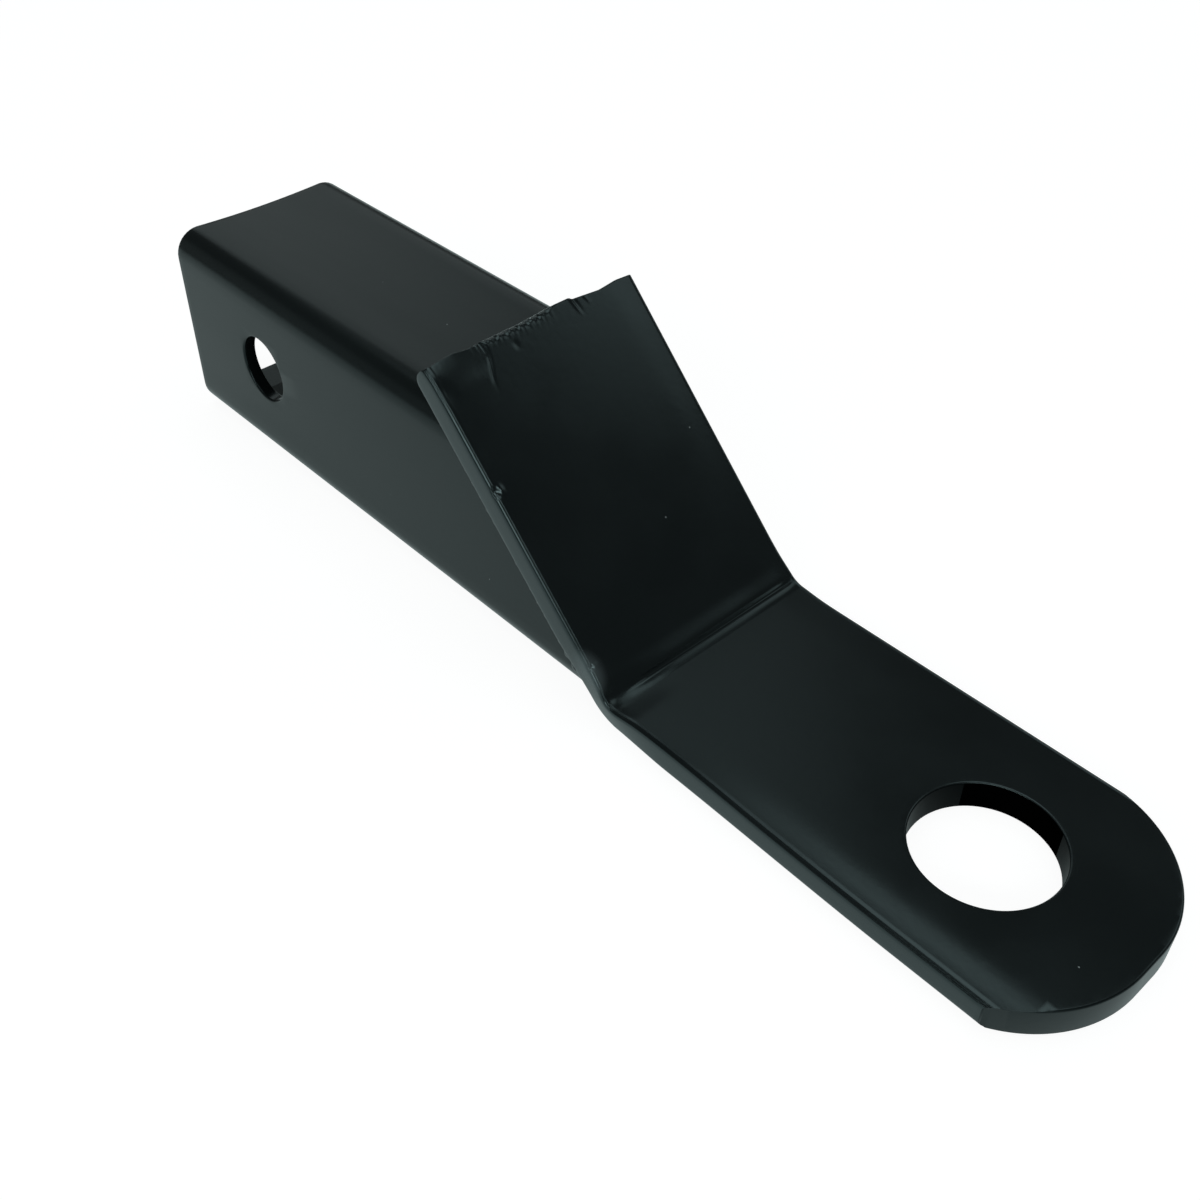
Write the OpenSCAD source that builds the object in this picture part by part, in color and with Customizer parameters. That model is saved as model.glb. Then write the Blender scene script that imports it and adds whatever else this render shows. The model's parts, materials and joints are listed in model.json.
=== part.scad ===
// Drop-shank hitch for a golf cart: a square tube shank whose mitred front end is closed
// by a bent flat bar. The bar's tongue carries a ball or a hook pin in its round hole.
// Frame: the origin is the centre of the hitch pin bore, on the shank's mid-plane.
// +X runs along the shank towards the tongue, +Y across it, and +Z is up.

/* [Shank tube] */
// Outside width and height of the square tube
tube_size = 50.8; // [48:0.1:54]
// Wall thickness of the tube
tube_wall = 3.5; // [2.6:0.1:4.4]
// Outside radius of the tube's long corners
tube_corner_r = 6.6; // [5.4:0.1:8.4]
// Hollow of the top wall below the flat between its corners
top_dip = 0.5; // [0.3:0.1:1.4]
// Length of the tube's top, from the open end to the bar
shank_len = 114; // [100:0.1:160]
// Width of the seam flash inside the bottom wall
seam_w = 2.6; // [1.6:0.1:4]
// Height of the seam flash
seam_h = 0.6; // [0.3:0.1:0.8]

/* [Hitch pin bore] */
// Bore for the hitch pin
pin_d = 17.1; // [14:0.1:19]
// From the open end of the tube to the bore's centre
pin_setback = 35.3; // [26:0.1:50]
// Height of the bore's centre above the tube's centre line
pin_raise = 1.5; // [-3:0.1:3]

/* [Bent bar] */
// Overhang of the flat bar on each side of the tube
overhang = 3.6; // [2:0.1:8]
// Thickness of the flat bar
bar_t = 7.2; // [6:0.1:8.4]
// Radius of the rolled long edges
edge_r = 0.8; // [0.4:0.1:1.4]
// Bend between the tongue and the leg
bend_angle = 45; // [35:1:55]
// Inside radius of the bend
bend_r = 5; // [3:0.1:8]
// Reach of the leg beyond the tube's top, along the bar
head_rise = 12.2; // [8:0.1:24]
// Height of the tongue's underside above the tube's underside
tongue_lift = 1; // [0.6:0.1:3]

/* [Swelling at the bend] */
// Height of the metal that the bend squeezed out of each long edge
swell = 0.8; // [0.4:0.1:1.2]
// Reach of a swelling along the edge, on each side of its middle
swell_reach = 4.5; // [3:0.5:5]
// Depth of a swelling's middle below the inside of the bend
swell_depth = 1.6; // [0.8:0.1:2.4]

/* [Press mark in the bend] */
// Width of the punch line along the inside of the bend
crease_w = 1.6; // [0.8:0.1:2.4]
// Depth of the punch line
crease_depth = 0.45; // [0.2:0.05:0.8]
// Distance of the punch line's near end from the near edge
crease_near = 6; // [3:0.5:12]
// Distance of the punch line's far end from the far edge
crease_far = 2.5; // [2:0.5:12]

/* [Tongue] */
// From the bend's corner to the centre of the round hole
hole_reach = 73.7; // [60:0.1:110]
// Round hole for the ball's shank
hole_d = 29.9; // [19:0.1:33]
// Offset of the hole from the bar's centre line
hole_y = -1; // [-2:0.1:2]
// From the hole's centre to the tip of the nose
nose_reach = 34.9; // [30:0.1:44]
// Radius of the nose on its far side
nose_far_r = 28; // [24:0.1:28.6]
// Radius of the nose on its near side
nose_near_r = 28.3; // [27:0.1:32]
// How far the near arc runs on past the near edge, which leaves a corner there
nose_overrun = 4.1; // [1:0.1:5]
// Radius that the shear left on the nose's rim
rim_r = 1; // [0.4:0.1:2]

/* [Sheared top edge] */
// How far the shear's cut wanders along the leg
shear_wander = 1.1; // [0:0.1:2]
// Radius that the shear left on the edge towards the tube
shear_roll_r = 2.5; // [1:0.1:3]
// Width of the near corner that the shear also pressed down
pressed_w = 15; // [8:0.5:24]
// How far the pressed corner runs down the leg
pressed_len = 7.5; // [3:0.5:10]
// Depth of the pressed corner at the top edge
pressed_depth = 0.9; // [0.3:0.1:1.6]

/* [Welds] */
// Leg of the top weld, in the notch behind the bar
top_weld_r = 5; // [3:0.1:6.5]
// Set-back of the side welds from the bar's long edges
side_weld_inset = 0.4; // [0.2:0.1:1.2]
// Leg of the bottom weld, kept above the tube's underside
bottom_weld_r = 2.5; // [1.6:0.1:3]
// Pitch of the ripples in every weld
ripple = 3.1; // [2.4:0.1:4]
// Height of the ripples
ripple_h = 0.4; // [0.2:0.1:0.6]

/* [Hidden] */
$fn = 72;
// Facets of the arcs that are much wider than the part
wide_fn = 360;
// How far a cut runs past the face that it starts from
past = 1;
// Depth of a swelling's root below the side face, as a share of the rolled edge's radius
root_share = 0.2;
// Depth of a swelling's top below the inside of the bend, as a share of the same radius
shoulder_share = 0.55;
// A length that reaches beyond the whole part
beyond = 400;
// Share of each ripple's pitch that its raised ring takes up
ring_share = 0.6;
// Height of the bottom weld above the tube's underside
weld_gap = 0.3;
// The sheared edge from the near side to the far one, as shares of the bar's width and of the wander
shear_line = [
    [0, 1], [0.08, 0.6], [0.14, 0.4], [0.2, 0.9], [0.25, 0.6], [0.44, 0.45],
    [0.57, 0.05], [0.68, 0], [0.7, 0.5], [0.83, 1], [0.92, 0.55], [1, 0.75]
];
paint = "#20282b";

half = tube_size / 2;
bar_w = tube_size + 2 * overhang;
axis_z = -pin_raise;
top_z = axis_z + half;
under_z = axis_z - half;
open_x = -pin_setback;
inner_half = half - tube_wall;
inner_r = tube_corner_r - tube_wall;
flat_half = half - tube_corner_r;
dip_r = (flat_half * flat_half + top_dip * top_dip) / (2 * top_dip);

tongue_under_z = under_z + tongue_lift;
tongue_top_z = tongue_under_z + bar_t;
seam_top_x = open_x + shank_len;
seam_under_x = seam_top_x + tube_size / tan(bend_angle);
back_corner_x = seam_top_x + (top_z - tongue_under_z) / tan(bend_angle);
corner_x = back_corner_x + bar_t * tan(bend_angle / 2);
bend_x = corner_x + bend_r * tan(bend_angle / 2);
bend_z = tongue_top_z + bend_r;
leg_back = (top_z - tongue_under_z) / sin(bend_angle) + head_rise;
leg_len = leg_back - (bend_r + bar_t) * tan(bend_angle / 2);

hole_x = corner_x + hole_reach;
nose_x = hole_x + nose_reach;
nose_far_y = bar_w / 2 - nose_far_r;
nose_far_x = nose_x - nose_far_r;
nose_near_x = nose_x - nose_near_r;
nose_near_y = nose_near_r - nose_overrun - bar_w / 2;
side_leg = overhang - side_weld_inset;
side_run = 2 * flat_half / sin(bend_angle);

// A square with round corners, centred
module round_square(w, h, r) {
    square([w, h - 2 * r], center = true);
    square([w - 2 * r, h], center = true);
    for (x = [-1, 1], y = [-1, 1])
        translate([x * (w / 2 - r), y * (h / 2 - r)]) circle(r = r);
}

// Outline of the tube, with its top wall drawn in
module tube_outline() {
    difference() {
        round_square(tube_size, tube_size, tube_corner_r);
        translate([0, half + dip_r - top_dip]) circle(r = dip_r, $fn = wide_fn);
    }
}

// Hollow of the tube, which follows the drawn-in top wall and the seam's flash
module tube_hollow() {
    difference() {
        round_square(2 * inner_half, 2 * inner_half, inner_r);
        translate([0, half + dip_r - top_dip]) circle(r = dip_r + tube_wall, $fn = wide_fn);
        translate([0, -inner_half + seam_h - seam_w / 2]) circle(r = seam_w / 2);
    }
}

// An outline in Y and Z, drawn out along the shank from the open end
module along_shank(from, length) {
    translate([from, 0, axis_z]) rotate([90, 0, 90]) linear_extrude(length) children();
}

// Everything in front of the bar's back face
module front_of_mitre() {
    translate([seam_top_x, 0, top_z]) rotate([0, bend_angle - 90, 0])
        translate([0, -beyond / 2, -beyond]) cube([beyond, beyond, 2 * beyond]);
}

// The tube's outer shape, solid and mitred
module shank_body() {
    difference() {
        along_shank(open_x, beyond) tube_outline();
        front_of_mitre();
    }
}

module shank_tube() {
    color(paint) difference() {
        shank_body();
        along_shank(open_x - past, beyond + 2 * past) tube_hollow();
        rotate([90, 0, 0]) cylinder(d = pin_d, h = tube_size + 2 * past, center = true);
    }
}

// Section of the flat bar: thickness along X, width along Y
module bar_section() {
    translate([bar_t / 2, 0]) round_square(bar_t, bar_w, edge_r);
}

// A straight length of bar that starts on the bend, at an angle round it
module bar_length(angle, length) {
    rotate([0, 0, angle]) translate([bend_r, 0, 0]) rotate([90, 0, 0])
        linear_extrude(length) bar_section();
}

// The bar's leg, bend and tongue, in the plane of its side view
module bent_bar() {
    translate([bend_x, bend_z, 0]) {
        bar_length(-90 - bend_angle, leg_len);
        rotate([0, 0, -90 - bend_angle]) rotate_extrude(angle = bend_angle)
            translate([bend_r, 0]) bar_section();
        mirror([1, 0, 0]) bar_length(-90, nose_x - bend_x + past);
    }
}

// A disc of the tongue's thickness with a rounded rim
module nose_disc(r) {
    translate([0, 0, tongue_under_z]) rotate_extrude($fn = wide_fn) {
        square([r - rim_r, bar_t]);
        translate([0, rim_r]) square([r, bar_t - 2 * rim_r]);
        for (z = [rim_r, bar_t - rim_r]) translate([r - rim_r, z]) circle(r = rim_r);
    }
}

// The flat of the nose, between the tips of its two arcs
module nose_flat() {
    translate([nose_x - nose_far_r, nose_far_y, tongue_under_z]) rotate([90, 0, 0])
        linear_extrude(nose_far_y - nose_near_y) {
            square([nose_far_r - rim_r, bar_t]);
            translate([0, rim_r]) square([nose_far_r, bar_t - 2 * rim_r]);
            for (z = [rim_r, bar_t - rim_r]) translate([nose_far_r - rim_r, z]) circle(r = rim_r);
        }
}

// Everything behind the nose's far arc, and the nose itself
module nose_shape() {
    translate([nose_far_x - beyond, -beyond / 2, under_z]) cube([beyond, beyond, beyond]);
    translate([nose_far_x, nose_far_y, 0]) nose_disc(nose_far_r);
    translate([nose_near_x, nose_near_y, 0]) nose_disc(nose_near_r);
    nose_flat();
}

// Places a cut at the leg's top: X is the front face's normal, and Z runs up the leg
module at_leg_top() {
    translate([bend_x, 0, bend_z]) rotate([0, bend_angle - 90, 0])
        translate([-bend_r, 0, leg_len]) children();
}

// Everything above the line of the shear's cut
module sheared_off() {
    last = len(shear_line) - 1;
    translate([-bar_t - past, 0, 0]) rotate([90, 0, 90]) linear_extrude(bar_t + 2 * past) polygon([
        [-bar_w, past],
        [-bar_w, -shear_line[0].y * shear_wander],
        for (p = shear_line) [(p.x - 0.5) * bar_w, -p.y * shear_wander],
        [bar_w, -shear_line[last].y * shear_wander],
        [bar_w, past]
    ]);
}

// What a roll takes off the end of a face: it leaves an arc that starts run below the end
module roll_cut(r, run, width) {
    difference() {
        translate([-min(r, bar_t / 2), 0, -run]) cube([bar_t, width, run + past]);
        translate([-r, -past, -run]) rotate([-90, 0, 0]) cylinder(r = r, h = width + 2 * past);
    }
}

// The near corner of the front face that the shear pressed down
module pressed_corner() {
    roll = (pressed_len * pressed_len + pressed_depth * pressed_depth) / (2 * pressed_depth);
    translate([0, -bar_w / 2 - past, 0]) roll_cut(roll, pressed_len, pressed_w + past);
}

// The roll on the edge of the leg's back face
module back_roll() {
    translate([-bar_t, -bar_w / 2 - past, 0]) mirror([1, 0, 0])
        roll_cut(shear_roll_r, shear_roll_r, bar_w + 2 * past);
}

// Places a form at the middle of the bend: Z runs from its inner face to its centre
module at_bend() {
    translate([bend_x, 0, bend_z]) rotate([0, bend_angle / 2, 0]) translate([0, 0, -bend_r]) children();
}

// A shallow round cap that stands on its own root, along Z
module swelling_cap() {
    root = edge_r * root_share;
    cap_r = (swell_reach * swell_reach + swell * swell) / (2 * swell);
    rotate_extrude() intersection() {
        translate([0, root + swell - cap_r]) circle(r = cap_r, $fn = wide_fn);
        square([cap_r, cap_r]);
    }
}

// The room inside the bend, let into the bar by the depth of the swellings' shoulder
module bend_room() {
    reach = 2 * swell_reach;
    deep = bend_r + edge_r * shoulder_share;
    translate([bend_x, bar_w, bend_z]) rotate([90, 0, 0]) linear_extrude(2 * bar_w) {
        circle(r = deep);
        translate([0, -deep]) square([reach, deep]);
        rotate(-bend_angle) translate([-reach, -deep]) square([reach, deep]);
    }
}

// The metal that the bend squeezed out of both long edges
module bend_swelling() {
    difference() {
        at_bend() for (side = [-1, 1])
            translate([0, side * (bar_w / 2 - edge_r * root_share), -swell_depth])
                rotate([-90 * side, 0, 0]) swelling_cap();
        bend_room();
    }
}

// The line that the press punch left inside the bend
module press_mark() {
    mark_r = (crease_w * crease_w / 4 + crease_depth * crease_depth) / (2 * crease_depth);
    at_bend() translate([0, crease_near - bar_w / 2, mark_r - crease_depth])
        rotate([-90, 0, 0]) cylinder(r = mark_r, h = bar_w - crease_near - crease_far);
}

module tongue_plate() {
    color(paint) difference() {
        union() {
            intersection() {
                rotate([90, 0, 0]) bent_bar();
                nose_shape();
            }
            bend_swelling();
        }
        translate([hole_x, hole_y, tongue_under_z - past]) cylinder(d = hole_d, h = bar_t + 2 * past);
        press_mark();
        at_leg_top() {
            sheared_off();
            pressed_corner();
            back_roll();
        }
    }
}

// A rippled weld rod along Z, centred: a round bar with a raised ring at every ripple
module weld_rod(r, length) {
    count = max(2, floor(length / ripple));
    ring = ripple * ring_share;
    translate([0, 0, -count * ripple / 2]) rotate_extrude() {
        square([r - ripple_h, count * ripple]);
        for (i = [0 : count - 1])
            translate([0, (i + 0.5) * ripple - ring / 2]) square([r, ring]);
    }
}

// Weld metal that fills the corner between the tube and the bar
module weld_fill() {
    color(paint) difference() {
        children();
        shank_body();
        tongue_plate();
    }
}

module weld_top() {
    weld_fill() translate([seam_top_x, 0, top_z]) rotate([90, 0, 0])
        weld_rod(top_weld_r, 2 * flat_half);
}

module weld_bottom() {
    weld_fill() translate([seam_under_x, 0, under_z + bottom_weld_r + weld_gap]) rotate([90, 0, 0])
        weld_rod(bottom_weld_r, 2 * flat_half);
}

// One side weld, up the mitred edge of the tube's side wall
module weld_side(side) {
    weld_fill() translate([(seam_top_x + seam_under_x) / 2, side * half, axis_z])
        rotate([0, bend_angle - 90, 0]) weld_rod(side_leg, side_run);
}

module weld_left() {
    weld_side(1);
}

module weld_right() {
    weld_side(-1);
}

shank_tube();
tongue_plate();
weld_top();
weld_bottom();
weld_left();
weld_right();
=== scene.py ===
# %% [markdown]
# # A tow hitch for a golf cart, dressed in Blender
#
# The real part is a short square steel tube with a bent flat bar welded over its slanted
# end, all of it in satin black powder coat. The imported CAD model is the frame: it says
# where everything is and how big it is. This script puts a finer mesh over each of its
# pieces, gives them their finish, and sets up the light and the camera.

# %% Load the frame
import json
import math

import bmesh
import bpy
import numpy as np
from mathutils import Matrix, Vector


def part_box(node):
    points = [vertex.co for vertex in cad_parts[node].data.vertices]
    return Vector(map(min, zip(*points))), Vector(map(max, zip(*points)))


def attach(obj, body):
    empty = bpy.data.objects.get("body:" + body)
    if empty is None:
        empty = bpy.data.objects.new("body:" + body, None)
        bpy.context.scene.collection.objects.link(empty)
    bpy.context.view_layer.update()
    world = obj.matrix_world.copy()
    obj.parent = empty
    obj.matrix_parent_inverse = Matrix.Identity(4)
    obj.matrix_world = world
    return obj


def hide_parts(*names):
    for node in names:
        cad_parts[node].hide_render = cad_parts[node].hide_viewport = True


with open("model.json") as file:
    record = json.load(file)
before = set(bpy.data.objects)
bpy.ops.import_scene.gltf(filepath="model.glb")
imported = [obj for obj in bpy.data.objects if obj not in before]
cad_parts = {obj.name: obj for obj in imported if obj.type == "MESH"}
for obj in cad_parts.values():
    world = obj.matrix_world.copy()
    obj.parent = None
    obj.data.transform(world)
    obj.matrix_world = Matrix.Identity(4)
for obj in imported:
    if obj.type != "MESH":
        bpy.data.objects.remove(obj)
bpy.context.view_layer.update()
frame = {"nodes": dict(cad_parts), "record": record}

MM = 0.001
mounts = {m["name"]: m for m in frame["record"]["mounts"]}
print("nodes:", ", ".join(sorted(frame["nodes"])))

# %% [markdown]
# ## Read the sizes off the frame
#
# A dressed piece has to lie exactly where its CAD piece lies. So the sizes aren't typed in
# again: they are read from the boxes of the CAD nodes and from the two bores that the
# record states. Only what a box can't say, such as a wall or a radius, is a value here.
# Everything in this script is worked out in millimetres and turned into metres once, when
# a mesh is made. X runs from the tube to the nose, Y to the far side, Z up.

# %% Sizes of the tube
tube_low, tube_high = (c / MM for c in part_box("shank_tube"))
tube_half = (tube_high.y - tube_low.y) / 2
tube_axis_z = (tube_high.z + tube_low.z) / 2
tube_wall = 3.5
tube_corner_r = 6.6
top_dip = 0.5
pin_r = mounts["hitch_pin_bore"]["dims"]["r_mm"]
# Every point of the slanted end has this sum of x and z.
mitre_sum = tube_high.x + tube_low.z
print(f"tube {2 * tube_half:.1f} mm square, pin bore {2 * pin_r:.1f} mm")

# %% Sizes of the bar
ball_bore = mounts["ball_hole"]
bar_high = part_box("tongue_plate")[1] / MM
overhang = 3.6
off_centre = 0.2
bar_half = tube_half + overhang
bar_t = ball_bore["dims"]["length_mm"]
hole_r = ball_bore["dims"]["r_mm"]
hole_x, hole_y, bar_mid_z = (c / MM for c in ball_bore["pos_m"])
tongue_top = bar_mid_z + bar_t / 2
print(f"bar {2 * bar_half:.1f} x {bar_t:.1f} mm, hole {2 * hole_r:.1f} mm")

# %% Places along the bend
bend_angle = math.radians(45)
bend_r = 5.0
nose_spare = 3
corner_x = mitre_sum + bar_t * math.sqrt(2) - tongue_top
bend_x = corner_x + bend_r * math.tan(bend_angle / 2)
bend_z = tongue_top + bend_r
bend_half = bend_r * bend_angle / 2
leg_top = (bar_high.z - tongue_top) / math.sin(bend_angle) - bend_r * math.tan(bend_angle / 2)
tongue_end = bar_high.x - bend_x + nose_spare
print(f"leg {leg_top:.1f} mm above the bend, tongue {tongue_end - nose_spare:.1f} mm beyond it")

# %% [markdown]
# ## Curves that the metal follows
#
# Rolled, pressed and sheared steel has few sharp steps. So the changes of shape below are
# sums of a few plain curves: one that eases from 0 to 1, three kinds of hill, and a rounded
# edge. They take single numbers and whole arrays alike.

# %% Curves
def ease(x, start, end):
    """0 before start, 1 after end, and smooth between them."""
    t = np.clip((np.asarray(x, float) - start) / (end - start), 0, 1)
    return t * t * (3 - 2 * t)


def bump(x, centre, reach):
    """A smooth hill of height 1 that ends at reach on each side of its centre."""
    return 1 - ease(np.abs(np.asarray(x, float) - centre), 0, reach)


def plateau(x, start, full, fading, end):
    """A hill that rises from start to full and falls from fading to end."""
    return ease(x, start, full) * (1 - ease(x, fading, end))


def ridge(x, centre, width):
    """A narrow bell of height 1."""
    return np.exp(-(((x - centre) / width) ** 2))


def quarter(distance, r):
    """How far a rounded edge of radius r has fallen away at a distance from the end."""
    inside = np.clip(r - np.asarray(distance, float), 0, r)
    return r - np.sqrt(r * r - inside * inside)


def quarter_turn(steps):
    """Angles from 0 to 90 degrees, both included."""
    return [math.pi / 2 * i / steps for i in range(steps + 1)]


# %% [markdown]
# ## Helpers for lofts and cuts
#
# Most pieces here are lofts: rings of points, joined ring to ring. A loft is the right tool
# for rolled and drawn steel, because the section hardly changes along it, and because the
# rings can be moved a little where the press or the shear has moved the metal. What a
# drill or a punch took out of the real part is cut here with a boolean.

# %% Helpers for lofted meshes
SHARP = math.radians(38)
SAME_PLACE = 0.002


def add_ring(points, rings, ring):
    """Adds one ring of points to a loft."""
    start = len(points)
    points.extend(ring)
    rings.append(list(range(start, len(points))))


def loft(rings, capped=False):
    """Quads between neighbouring closed rings, with a cap at each end if asked for."""
    faces = []
    for one, two in zip(rings, rings[1:]):
        n = len(one)
        faces += [(one[i], one[(i + 1) % n], two[(i + 1) % n], two[i]) for i in range(n)]
    if capped:
        faces += [tuple(rings[0]), tuple(reversed(rings[-1]))]
    return faces


def make_object(name, points, faces):
    """A mesh object from points in millimetres."""
    mesh = bpy.data.meshes.new(name)
    mesh.from_pydata([Vector(p) * MM for p in points], [], faces)
    mesh.validate()
    thing = bpy.data.objects.new(name, mesh)
    bpy.context.scene.collection.objects.link(thing)
    return thing


def face_outwards(thing):
    """Merges doubles and turns every face outwards."""
    work = bmesh.new()
    work.from_mesh(thing.data)
    bmesh.ops.remove_doubles(work, verts=work.verts, dist=SAME_PLACE * MM)
    bmesh.ops.recalc_face_normals(work, faces=work.faces)
    work.to_mesh(thing.data)
    work.free()


# %% Helpers for finished meshes
def evaluated_mesh(thing):
    """The mesh that an object's modifiers give."""
    bpy.context.view_layer.update()
    evaluated = thing.evaluated_get(bpy.context.evaluated_depsgraph_get())
    return bpy.data.meshes.new_from_object(evaluated)


def cut(thing, cutter):
    """Takes the cutter's solid out of thing and removes the cutter."""
    modifier = thing.modifiers.new("cut", "BOOLEAN")
    modifier.operation = "DIFFERENCE"
    modifier.solver = "MANIFOLD"
    modifier.object = cutter
    result = evaluated_mesh(thing)
    result.materials.clear()
    thing.modifiers.clear()
    thing.data = result
    bpy.data.objects.remove(cutter)


def smooth(thing, angle=SHARP):
    """Smooth shading with crisp edges above an angle."""
    thing.data.shade_smooth()
    thing.data.set_sharp_from_angle(angle=angle)


def count(thing):
    """Number of triangles in an object's mesh."""
    thing.data.calc_loop_triangles()
    return len(thing.data.loop_triangles)


# %% [markdown]
# ## The square tube
#
# The tube is cold drawn: its top wall is pulled in by half a millimetre, and its corners
# are round. Its section is one closed ring of points, made for the outside and again, moved
# inwards, for the inside. The seam of the strip that the tube was welded from leaves a low
# line inside the bottom wall.

# %% Outline of the tube
CORNER_STEPS = 10
WALL_STEPS = 14
dip_half = tube_half - tube_corner_r
dip_r = (dip_half ** 2 + top_dip ** 2) / (2 * top_dip)


def dipped(y, inset):
    """Height of the hollow top wall above the tube's axis."""
    return tube_half + dip_r - top_dip - math.sqrt((dip_r + inset) ** 2 - y ** 2)


def tube_outline(inset):
    """Ring of (y, z) points, the tube's outline moved inwards by inset."""
    half = tube_half - inset
    r = tube_corner_r - inset
    flat = half - r
    wall = [(flat * (1 - 2 * i / WALL_STEPS), half) for i in range(WALL_STEPS)]
    corner = [
        (-flat - r * math.sin(a), flat + r * math.cos(a)) for a in quarter_turn(CORNER_STEPS)[:-1]
    ]
    ring = []
    for side in range(4):
        turn = side * math.pi / 2
        for y, z in wall + corner:
            if side == 0 and abs(y) <= flat:
                z = min(z, dipped(y, inset))
            ring.append((
                y * math.cos(turn) - z * math.sin(turn),
                y * math.sin(turn) + z * math.cos(turn),
            ))
    return np.array(ring)


print("tube outline:", len(tube_outline(0)), "points")

# %% [markdown]
# ## The tube's length
#
# The slanted front end needs no cut: each point of the ring simply runs on until it meets
# the bar's back face. At the open end the rings shrink round a small radius, because a sawn
# end that is powder coated has no sharp edge left, and the saw's slight wander moves them.

# %% Loft of the tube
END_STEPS = 5
end_r = 0.4
saw_wave, saw_reach = 0.12, 4
saw_turn_y, saw_turn_z = 0.11, 0.07
seam_w, seam_h = 2.6, 0.6
inside_from = 0.9 * tube_wall
body_stations = [2.2, 5, 10, 18, 26, 35, 44, 52, 62, 74, 88]


def tube_ring(inset, from_end=None):
    """One ring of the tube: at a distance from the open end or, with none, on the slant."""
    outline = tube_outline(inset)
    if inset > inside_from:
        flash = np.sqrt(np.clip((seam_w / 2) ** 2 - outline[:, 0] ** 2, 0, None))
        low = outline[:, 1] < 0
        outline[:, 1] += np.where(low, flash * seam_h / (seam_w / 2), 0)
    y, z = outline[:, 0], outline[:, 1] + tube_axis_z
    if from_end is None:
        return zip(mitre_sum - z, y, z)
    wave = saw_wave * (1 + np.sin(saw_turn_y * y + saw_turn_z * z)) / 2
    return zip(tube_low.x + from_end + wave * (1 - ease(from_end, 0, saw_reach)), y, z)


def build_tube():
    """The tube as one closed skin: down its outside, round the open end and up its inside."""
    rim = [
        (end_r * (1 - math.cos(a)), end_r * (1 - math.sin(a))) for a in quarter_turn(END_STEPS)
    ]
    outside = [(0, None)] + [(0, x) for x in reversed(body_stations)] + rim
    inside = [(tube_wall - inset, x) for inset, x in reversed(rim)]
    inside += [(tube_wall, x) for x in body_stations] + [(tube_wall, None)]
    points, rings = [], []
    for inset, from_end in outside + inside:
        add_ring(points, rings, tube_ring(inset, from_end))
    tube = make_object("tube", points, loft(rings + rings[:1]))
    face_outwards(tube)
    return tube


tube = build_tube()
print("tube before its bore:", count(tube), "triangles")

# %% [markdown]
# ## The pin bore
#
# A pin passes through both side walls. The cutter is a lathe profile: the bore's radius in
# the wall, and a small flare where it leaves the wall, so that one boolean leaves the soft
# rim that paint gives a drilled hole. The same profile serves for the round hole later.

# %% Cutters with flared rims
LATHE_STEPS = 96
RIM_STEPS = 5


def flare(radius, rim, face, outwards):
    """(radius, place) pairs of a rounded rim, from the bore's wall out to a face."""
    return [
        (radius + rim * (1 - math.cos(a)), face - outwards * rim * (1 - math.sin(a)))
        for a in quarter_turn(RIM_STEPS)
    ]


def bore_profile(radius, rim, low, high, before, after):
    """Profile of a bore through a wall from low to high, with a flare at each face."""
    return (
        [(radius + rim, low - before)]
        + flare(radius, rim, low, -1)[::-1]
        + flare(radius, rim, high, 1)
        + [(radius + rim, high + after)]
    )


def lathe(name, profile, axis, centre):
    """A closed solid of revolution about Y or Z from (radius, place) pairs."""
    points, rings = [], []
    for radius, at in profile:
        ring = []
        for i in range(LATHE_STEPS):
            a = 2 * math.pi * i / LATHE_STEPS
            u, v = radius * math.cos(a), radius * math.sin(a)
            ring.append(Vector((u, at, v) if axis == "Y" else (u, v, at)) + Vector(centre))
        add_ring(points, rings, ring)
    solid = make_object(name, points, loft(rings, capped=True))
    face_outwards(solid)
    return solid


# %% Drill the tube
pin_rim = 0.55
inner_face = tube_half - tube_wall
short_of, beyond = 1, 4
far_wall = bore_profile(pin_r, pin_rim, inner_face, tube_half, short_of, beyond)
pin_profile = [(r, -at) for r, at in reversed(far_wall)] + far_wall
cut(tube, lathe("pin_cutter", pin_profile, "Y", (0, 0, 0)))
smooth(tube)
print("tube with its bore:", count(tube), "triangles")

# %% [markdown]
# ## The bent bar
#
# The bar is one flat strip, sheared, punched and bent in a press. It is easiest to think
# of it flat: u runs along it, with 0 at the middle of the bend, v across it, and d is the
# depth below its inner face. The rolls, the shear and the press each move points in that
# flat space, and one function at the end bends the whole strip into place. The stations
# are close together where the metal changes shape quickly, and far apart elsewhere.

# %% Stations along the bar and across it
def spaced(*runs):
    """Values through runs of (start, end, step), each value once."""
    values = []
    for start, end, step in runs:
        n = max(1, round(abs(end - start) / step))
        values += [start + (end - start) * i / n for i in range(n)]
    return np.array(values + [runs[-1][1]])


strip_top = -leg_top - bend_half
from_top = [0, 0.08, 0.2, 0.36, 0.56, 0.8, 1.1, 1.45, 1.85, 2.3, 2.8]
along = np.concatenate([
    [strip_top + f for f in from_top],
    spaced(
        (strip_top + 3.4, strip_top + 10, 0.55), (strip_top + 10, -52, 1.3), (-52, -46, 0.3),
        (-46, -13, 1.4), (-13, -6, 0.4), (-6, 6, 0.16), (6, 14, 0.6), (14, tongue_end, 1.6),
    ),
])
from_edge = [
    0, 0.03, 0.1, 0.19, 0.28, 0.37, 0.46, 0.54, 0.62, 0.7, 0.78, 0.86, 0.94, 1.03,
    1.14, 1.28, 1.45, 1.65, 1.9, 2.3, 2.8, 3.4, 4.2, 5.2, 6.4, 8, 10,
]
across = np.concatenate([
    [-bar_half + f for f in from_edge],
    spaced(
        (-bar_half + 11.5, -16, 0.5), (-16, -13, 0.2), (-13, 5, 0.35), (5, 9.6, 0.5),
        (9.6, 15.4, 0.3), (15.4, bar_half - 11.5, 1.1),
    ),
    [bar_half - f for f in reversed(from_edge)],
])
side_shares = [0.36, 0.5, 0.64]
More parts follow.
